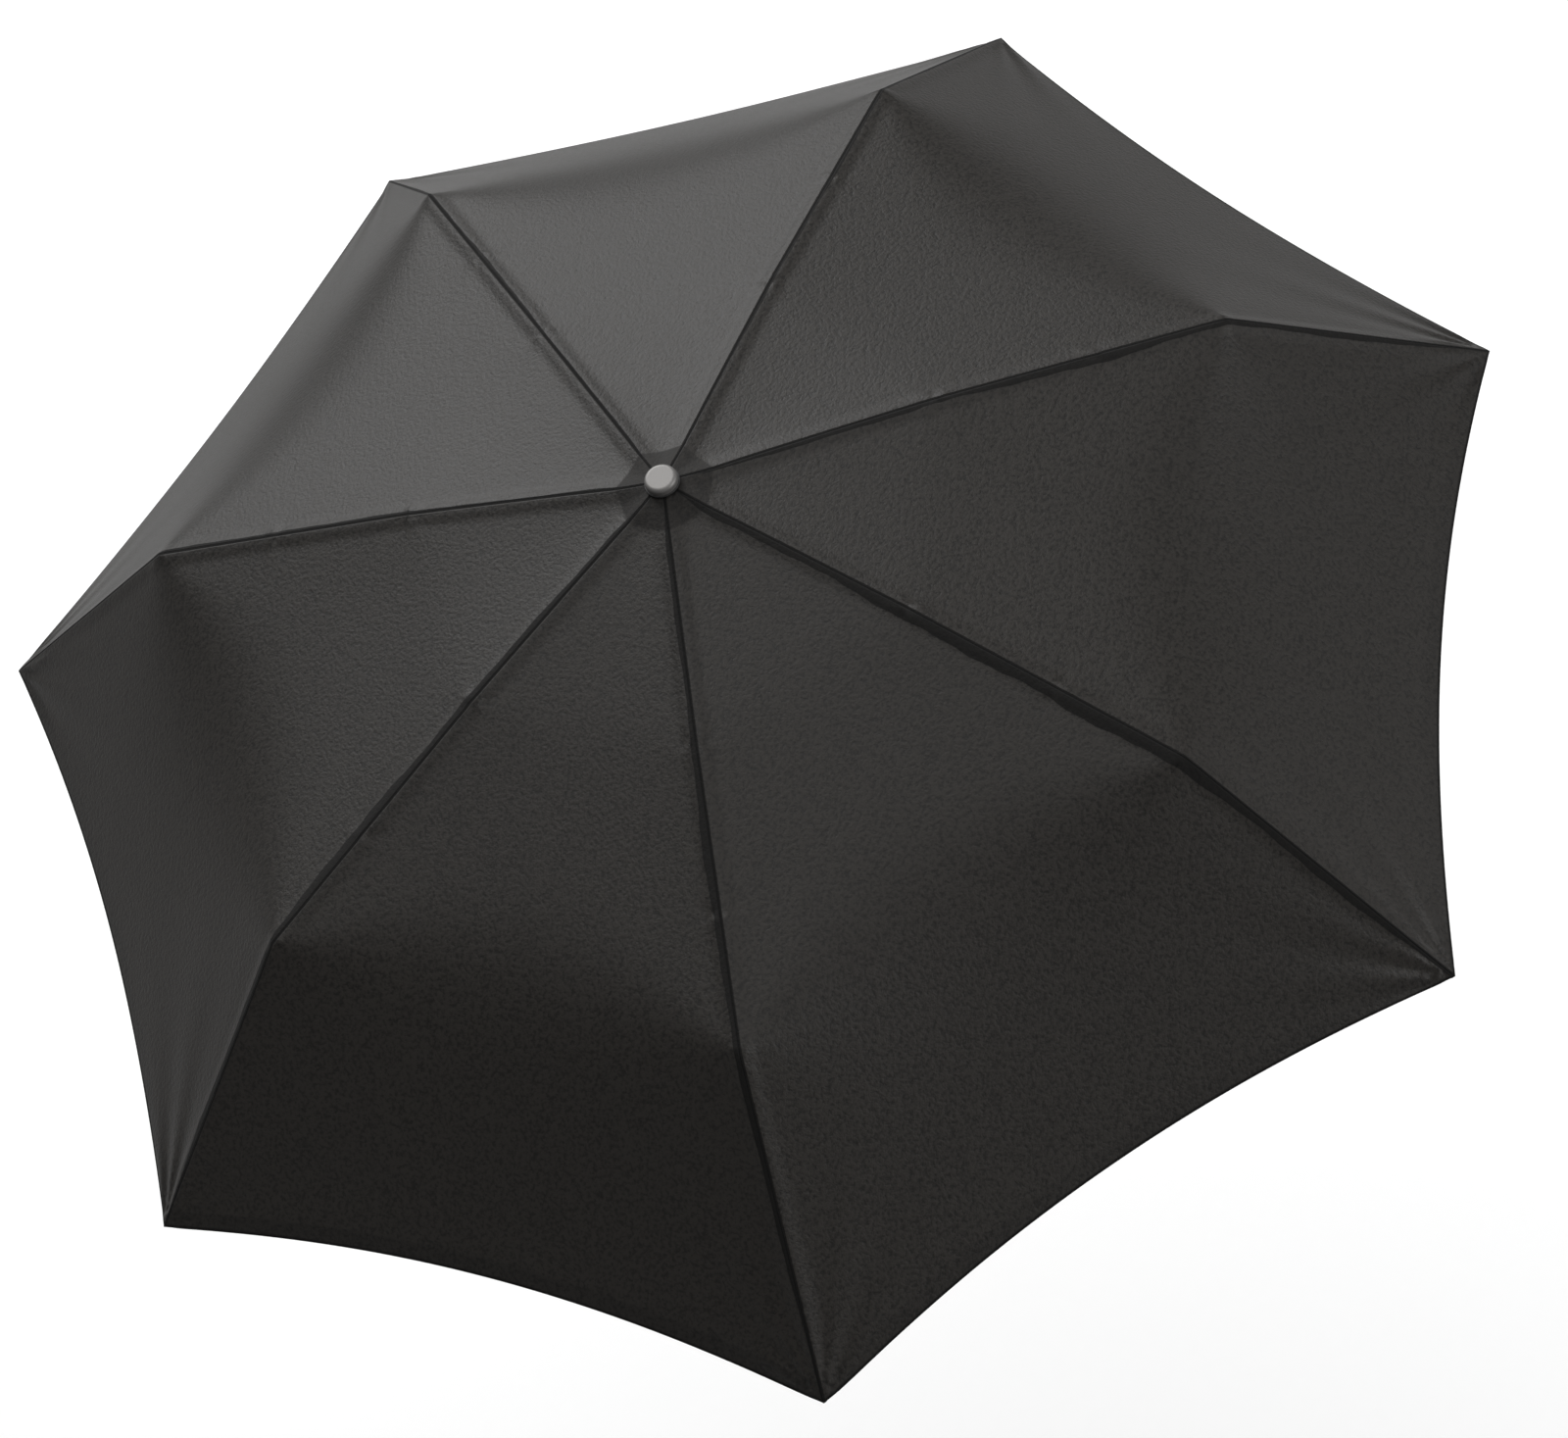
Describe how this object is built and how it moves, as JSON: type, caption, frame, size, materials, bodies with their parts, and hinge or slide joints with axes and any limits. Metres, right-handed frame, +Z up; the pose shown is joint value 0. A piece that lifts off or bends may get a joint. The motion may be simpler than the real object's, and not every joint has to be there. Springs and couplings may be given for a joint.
{
  "type": "folding umbrella",
  "caption": "Compact folding umbrella, open: hinged three-part ribs raised by a runner, dark fabric canopy, telescopic shaft and a straight grip.",
  "frame": {"origin": "middle of the handle's flat foot", "axes": "+Z up the shaft to the cap, +X out along rib 1, ribs numbered counter-clockwise seen from above"},
  "size_m": [0.9214, 0.9452, 0.5898],
  "materials": {
    "handle_plastic": "fine matte",
    "end_cap_plastic": "fine matte",
    "screw_steel": "satin",
    "shaft_steel": "bright",
    "plug_plastic": "matte",
    "spring_steel": "satin",
    "crown_plastic": "matte",
    "ring_wire": "satin",
    "runner_plastic": "matte",
    "runner_sleeve_metal": "satin",
    "rib_steel": "black, half gloss",
    "middle_rib_metal": "black, half gloss",
    "tip_wire": "black, half gloss",
    "canopy_fabric": "tight plain weave, slightly lustrous",
    "patch_fabric": "plain weave",
    "washer_rubber": "matte",
    "cap_metal": "satin"
  },
  "bodies": {
    "handle": {"handle_grip": "handle_plastic", "handle_end_cap": "end_cap_plastic", "end_cap_screws": "screw_steel", "lower_tube": "shaft_steel", "lower_tube_plug": "plug_plastic"},
    "middle_shaft": {"middle_tube": "shaft_steel", "middle_tube_plug": "plug_plastic"},
    "upper_shaft": {"upper_tube": "shaft_steel", "crown": "crown_plastic", "crown_ring": "ring_wire", "rosette": "patch_fabric", "cap_washer": "washer_rubber", "top_cap": "cap_metal", "gore_1": "canopy_fabric", "gore_2": "canopy_fabric", "gore_3": "canopy_fabric", "gore_4": "canopy_fabric", "gore_5": "canopy_fabric", "gore_6": "canopy_fabric", "gore_7": "canopy_fabric"},
    "runner": {"runner": "runner_plastic", "runner_ring": "ring_wire", "runner_sleeve": "runner_sleeve_metal"},
    "runner_catch": {"runner_catch": "spring_steel"},
    "top_rib_1": {"top_rib_1": "rib_steel"},
    "stretcher_1": {"stretcher_1": "rib_steel"},
    "link_rod_1": {"link_rod_1": "middle_rib_metal"},
    "middle_rib_1": {"middle_rib_1": "middle_rib_metal"},
    "tip_rib_1": {"tip_rib_1": "tip_wire"},
    "top_rib_2": {"top_rib_2": "rib_steel"},
    "stretcher_2": {"stretcher_2": "rib_steel"},
    "link_rod_2": {"link_rod_2": "middle_rib_metal"},
    "middle_rib_2": {"middle_rib_2": "middle_rib_metal"},
    "tip_rib_2": {"tip_rib_2": "tip_wire"},
    "top_rib_3": {"top_rib_3": "rib_steel"},
    "stretcher_3": {"stretcher_3": "rib_steel"},
    "link_rod_3": {"link_rod_3": "middle_rib_metal"},
    "middle_rib_3": {"middle_rib_3": "middle_rib_metal"},
    "tip_rib_3": {"tip_rib_3": "tip_wire"},
    "top_rib_4": {"top_rib_4": "rib_steel"},
    "stretcher_4": {"stretcher_4": "rib_steel"},
    "link_rod_4": {"link_rod_4": "middle_rib_metal"},
    "middle_rib_4": {"middle_rib_4": "middle_rib_metal"},
    "tip_rib_4": {"tip_rib_4": "tip_wire"},
    "top_rib_5": {"top_rib_5": "rib_steel"},
    "stretcher_5": {"stretcher_5": "rib_steel"},
    "link_rod_5": {"link_rod_5": "middle_rib_metal"},
    "middle_rib_5": {"middle_rib_5": "middle_rib_metal"},
    "tip_rib_5": {"tip_rib_5": "tip_wire"},
    "top_rib_6": {"top_rib_6": "rib_steel"},
    "stretcher_6": {"stretcher_6": "rib_steel"},
    "link_rod_6": {"link_rod_6": "middle_rib_metal"},
    "middle_rib_6": {"middle_rib_6": "middle_rib_metal"},
    "tip_rib_6": {"tip_rib_6": "tip_wire"},
    "top_rib_7": {"top_rib_7": "rib_steel"},
    "stretcher_7": {"stretcher_7": "rib_steel"},
    "link_rod_7": {"link_rod_7": "middle_rib_metal"},
    "middle_rib_7": {"middle_rib_7": "middle_rib_metal"},
    "tip_rib_7": {"tip_rib_7": "tip_wire"}
  },
  "joints": [
    {"name": "lower_slide", "type": "slide", "parent": "handle", "child": "middle_shaft", "axis": [0, 0, -1], "range_m": [0, 0.15]},
    {"name": "upper_slide", "type": "slide", "parent": "middle_shaft", "child": "upper_shaft", "axis": [0, 0, -1], "range_m": [0, 0.15]},
    {"name": "canopy_fold", "type": "hinge", "parent": "upper_shaft", "child": "top_rib_1", "pos_m": [0.0095, 0, 0.58], "axis": [0, 1, 0], "range_deg": [0, 77], "deforming": ["gore_1", "gore_2", "gore_3", "gore_4", "gore_5", "gore_6", "gore_7", "rosette", "runner_catch"]},
    {"name": "stretcher_fold_1", "type": "hinge", "parent": "top_rib_1", "child": "stretcher_1", "pos_m": [0.09538, 0, 0.5608], "axis": [0, -1, 0], "range_deg": [0, 154]},
    {"name": "runner_travel", "type": "hinge", "parent": "stretcher_1", "child": "runner", "pos_m": [0.0095, 0, 0.54159], "axis": [0, 1, 0], "range_deg": [0, 77]},
    {"name": "link_rod_fold_1", "type": "hinge", "parent": "stretcher_1", "child": "link_rod_1", "pos_m": [0.0903, 0, 0.55966], "axis": [0, 1, 0], "range_deg": [0, 154.46]},
    {"name": "middle_rib_fold_1", "type": "hinge", "parent": "top_rib_1", "child": "middle_rib_1", "pos_m": [0.16351, 0, 0.55508], "axis": [0, -1, 0], "range_deg": [0, 180.8]},
    {"name": "tip_rib_fold_1", "type": "hinge", "parent": "middle_rib_1", "child": "tip_rib_1", "pos_m": [0.33328, 0, 0.51667], "axis": [0, 1, 0], "range_deg": [0, 149.7]},
    {"name": "top_rib_fold_2", "type": "hinge", "parent": "upper_shaft", "child": "top_rib_2", "pos_m": [0.00592, 0.00743, 0.58], "axis": [-0.7818, 0.6235, 0], "range_deg": [0, 77]},
    {"name": "stretcher_fold_2", "type": "hinge", "parent": "top_rib_2", "child": "stretcher_2", "pos_m": [0.05947, 0.07457, 0.5608], "axis": [0.7818, -0.6235, 0], "range_deg": [0, 154]},
    {"name": "link_rod_fold_2", "type": "hinge", "parent": "stretcher_2", "child": "link_rod_2", "pos_m": [0.0563, 0.0706, 0.55966], "axis": [-0.7818, 0.6235, 0], "range_deg": [0, 154.46]},
    {"name": "middle_rib_fold_2", "type": "hinge", "parent": "top_rib_2", "child": "middle_rib_2", "pos_m": [0.10195, 0.12784, 0.55508], "axis": [0.7818, -0.6235, 0], "range_deg": [0, 180.8]},
    {"name": "tip_rib_fold_2", "type": "hinge", "parent": "middle_rib_2", "child": "tip_rib_2", "pos_m": [0.20779, 0.26057, 0.51667], "axis": [-0.7818, 0.6235, 0], "range_deg": [0, 149.7]},
    {"name": "top_rib_fold_3", "type": "hinge", "parent": "upper_shaft", "child": "top_rib_3", "pos_m": [-0.00211, 0.00926, 0.58], "axis": [-0.9749, -0.2225, 0], "range_deg": [0, 77]},
    {"name": "stretcher_fold_3", "type": "hinge", "parent": "top_rib_3", "child": "stretcher_3", "pos_m": [-0.02122, 0.09299, 0.5608], "axis": [0.9749, 0.2225, 0], "range_deg": [0, 154]},
    {"name": "link_rod_fold_3", "type": "hinge", "parent": "stretcher_3", "child": "link_rod_3", "pos_m": [-0.02009, 0.08804, 0.55966], "axis": [-0.9749, -0.2225, 0], "range_deg": [0, 154.46]},
    {"name": "middle_rib_fold_3", "type": "hinge", "parent": "top_rib_3", "child": "middle_rib_3", "pos_m": [-0.03638, 0.15941, 0.55508], "axis": [0.9749, 0.2225, 0], "range_deg": [0, 180.8]},
    {"name": "tip_rib_fold_3", "type": "hinge", "parent": "middle_rib_3", "child": "tip_rib_3", "pos_m": [-0.07416, 0.32492, 0.51667], "axis": [-0.9749, -0.2225, 0], "range_deg": [0, 149.7]},
    {"name": "top_rib_fold_4", "type": "hinge", "parent": "upper_shaft", "child": "top_rib_4", "pos_m": [-0.00856, 0.00412, 0.58], "axis": [-0.4339, -0.901, 0], "range_deg": [0, 77]},
    {"name": "stretcher_fold_4", "type": "hinge", "parent": "top_rib_4", "child": "stretcher_4", "pos_m": [-0.08593, 0.04138, 0.5608], "axis": [0.4339, 0.901, 0], "range_deg": [0, 154]},
    {"name": "link_rod_fold_4", "type": "hinge", "parent": "stretcher_4", "child": "link_rod_4", "pos_m": [-0.08136, 0.03918, 0.55966], "axis": [-0.4339, -0.901, 0], "range_deg": [0, 154.46]},
    {"name": "middle_rib_fold_4", "type": "hinge", "parent": "top_rib_4", "child": "middle_rib_4", "pos_m": [-0.14732, 0.07095, 0.55508], "axis": [0.4339, 0.901, 0], "range_deg": [0, 180.8]},
    {"name": "tip_rib_fold_4", "type": "hinge", "parent": "middle_rib_4", "child": "tip_rib_4", "pos_m": [-0.30027, 0.1446, 0.51667], "axis": [-0.4339, -0.901, 0], "range_deg": [0, 149.7]},
    {"name": "top_rib_fold_5", "type": "hinge", "parent": "upper_shaft", "child": "top_rib_5", "pos_m": [-0.00856, -0.00412, 0.58], "axis": [0.4339, -0.901, 0], "range_deg": [0, 77]},
    {"name": "stretcher_fold_5", "type": "hinge", "parent": "top_rib_5", "child": "stretcher_5", "pos_m": [-0.08593, -0.04138, 0.5608], "axis": [-0.4339, 0.901, 0], "range_deg": [0, 154]},
    {"name": "link_rod_fold_5", "type": "hinge", "parent": "stretcher_5", "child": "link_rod_5", "pos_m": [-0.08136, -0.03918, 0.55966], "axis": [0.4339, -0.901, 0], "range_deg": [0, 154.46]},
    {"name": "middle_rib_fold_5", "type": "hinge", "parent": "top_rib_5", "child": "middle_rib_5", "pos_m": [-0.14732, -0.07095, 0.55508], "axis": [-0.4339, 0.901, 0], "range_deg": [0, 180.8]},
    {"name": "tip_rib_fold_5", "type": "hinge", "parent": "middle_rib_5", "child": "tip_rib_5", "pos_m": [-0.30027, -0.1446, 0.51667], "axis": [0.4339, -0.901, 0], "range_deg": [0, 149.7]},
    {"name": "top_rib_fold_6", "type": "hinge", "parent": "upper_shaft", "child": "top_rib_6", "pos_m": [-0.00211, -0.00926, 0.58], "axis": [0.9749, -0.2225, 0], "range_deg": [0, 77]},
    {"name": "stretcher_fold_6", "type": "hinge", "parent": "top_rib_6", "child": "stretcher_6", "pos_m": [-0.02122, -0.09299, 0.5608], "axis": [-0.9749, 0.2225, 0], "range_deg": [0, 154]},
    {"name": "link_rod_fold_6", "type": "hinge", "parent": "stretcher_6", "child": "link_rod_6", "pos_m": [-0.02009, -0.08804, 0.55966], "axis": [0.9749, -0.2225, 0], "range_deg": [0, 154.46]},
    {"name": "middle_rib_fold_6", "type": "hinge", "parent": "top_rib_6", "child": "middle_rib_6", "pos_m": [-0.03638, -0.15941, 0.55508], "axis": [-0.9749, 0.2225, 0], "range_deg": [0, 180.8]},
    {"name": "tip_rib_fold_6", "type": "hinge", "parent": "middle_rib_6", "child": "tip_rib_6", "pos_m": [-0.07416, -0.32492, 0.51667], "axis": [0.9749, -0.2225, 0], "range_deg": [0, 149.7]},
    {"name": "top_rib_fold_7", "type": "hinge", "parent": "upper_shaft", "child": "top_rib_7", "pos_m": [0.00592, -0.00743, 0.58], "axis": [0.7818, 0.6235, 0], "range_deg": [0, 77]},
    {"name": "stretcher_fold_7", "type": "hinge", "parent": "top_rib_7", "child": "stretcher_7", "pos_m": [0.05947, -0.07457, 0.5608], "axis": [-0.7818, -0.6235, 0], "range_deg": [0, 154]},
    {"name": "link_rod_fold_7", "type": "hinge", "parent": "stretcher_7", "child": "link_rod_7", "pos_m": [0.0563, -0.0706, 0.55966], "axis": [0.7818, 0.6235, 0], "range_deg": [0, 154.46]},
    {"name": "middle_rib_fold_7", "type": "hinge", "parent": "top_rib_7", "child": "middle_rib_7", "pos_m": [0.10195, -0.12784, 0.55508], "axis": [-0.7818, -0.6235, 0], "range_deg": [0, 180.8]},
    {"name": "tip_rib_fold_7", "type": "hinge", "parent": "middle_rib_7", "child": "tip_rib_7", "pos_m": [0.20779, -0.26057, 0.51667], "axis": [0.7818, 0.6235, 0], "range_deg": [0, 149.7]},
    {"name": "runner_catch_press", "type": "hinge", "parent": "upper_shaft", "child": "runner_catch", "pos_m": [-0.0062, 0, 0.50429], "axis": [0, 1, 0], "range_deg": [0, 8.75], "stiffness_Nm_per_rad": 0.05}
  ],
  "couplings": [
    {"joint": "stretcher_fold_1", "follows": "canopy_fold", "ratio": 2},
    {"joint": "runner_travel", "follows": "canopy_fold", "ratio": 1},
    {"joint": "link_rod_fold_1", "follows": "canopy_fold", "ratio": 2.006},
    {"joint": "middle_rib_fold_1", "follows": "canopy_fold", "ratio": 2.3481},
    {"joint": "tip_rib_fold_1", "follows": "canopy_fold", "ratio": 1.9442},
    {"joint": "top_rib_fold_2", "follows": "canopy_fold", "ratio": 1},
    {"joint": "stretcher_fold_2", "follows": "canopy_fold", "ratio": 2},
    {"joint": "link_rod_fold_2", "follows": "canopy_fold", "ratio": 2.006},
    {"joint": "middle_rib_fold_2", "follows": "canopy_fold", "ratio": 2.3481},
    {"joint": "tip_rib_fold_2", "follows": "canopy_fold", "ratio": 1.9442},
    {"joint": "top_rib_fold_3", "follows": "canopy_fold", "ratio": 1},
    {"joint": "stretcher_fold_3", "follows": "canopy_fold", "ratio": 2},
    {"joint": "link_rod_fold_3", "follows": "canopy_fold", "ratio": 2.006},
    {"joint": "middle_rib_fold_3", "follows": "canopy_fold", "ratio": 2.3481},
    {"joint": "tip_rib_fold_3", "follows": "canopy_fold", "ratio": 1.9442},
    {"joint": "top_rib_fold_4", "follows": "canopy_fold", "ratio": 1},
    {"joint": "stretcher_fold_4", "follows": "canopy_fold", "ratio": 2},
    {"joint": "link_rod_fold_4", "follows": "canopy_fold", "ratio": 2.006},
    {"joint": "middle_rib_fold_4", "follows": "canopy_fold", "ratio": 2.3481},
    {"joint": "tip_rib_fold_4", "follows": "canopy_fold", "ratio": 1.9442},
    {"joint": "top_rib_fold_5", "follows": "canopy_fold", "ratio": 1},
    {"joint": "stretcher_fold_5", "follows": "canopy_fold", "ratio": 2},
    {"joint": "link_rod_fold_5", "follows": "canopy_fold", "ratio": 2.006},
    {"joint": "middle_rib_fold_5", "follows": "canopy_fold", "ratio": 2.3481},
    {"joint": "tip_rib_fold_5", "follows": "canopy_fold", "ratio": 1.9442},
    {"joint": "top_rib_fold_6", "follows": "canopy_fold", "ratio": 1},
    {"joint": "stretcher_fold_6", "follows": "canopy_fold", "ratio": 2},
    {"joint": "link_rod_fold_6", "follows": "canopy_fold", "ratio": 2.006},
    {"joint": "middle_rib_fold_6", "follows": "canopy_fold", "ratio": 2.3481},
    {"joint": "tip_rib_fold_6", "follows": "canopy_fold", "ratio": 1.9442},
    {"joint": "top_rib_fold_7", "follows": "canopy_fold", "ratio": 1},
    {"joint": "stretcher_fold_7", "follows": "canopy_fold", "ratio": 2},
    {"joint": "link_rod_fold_7", "follows": "canopy_fold", "ratio": 2.006},
    {"joint": "middle_rib_fold_7", "follows": "canopy_fold", "ratio": 2.3481},
    {"joint": "tip_rib_fold_7", "follows": "canopy_fold", "ratio": 1.9442}
  ]
}
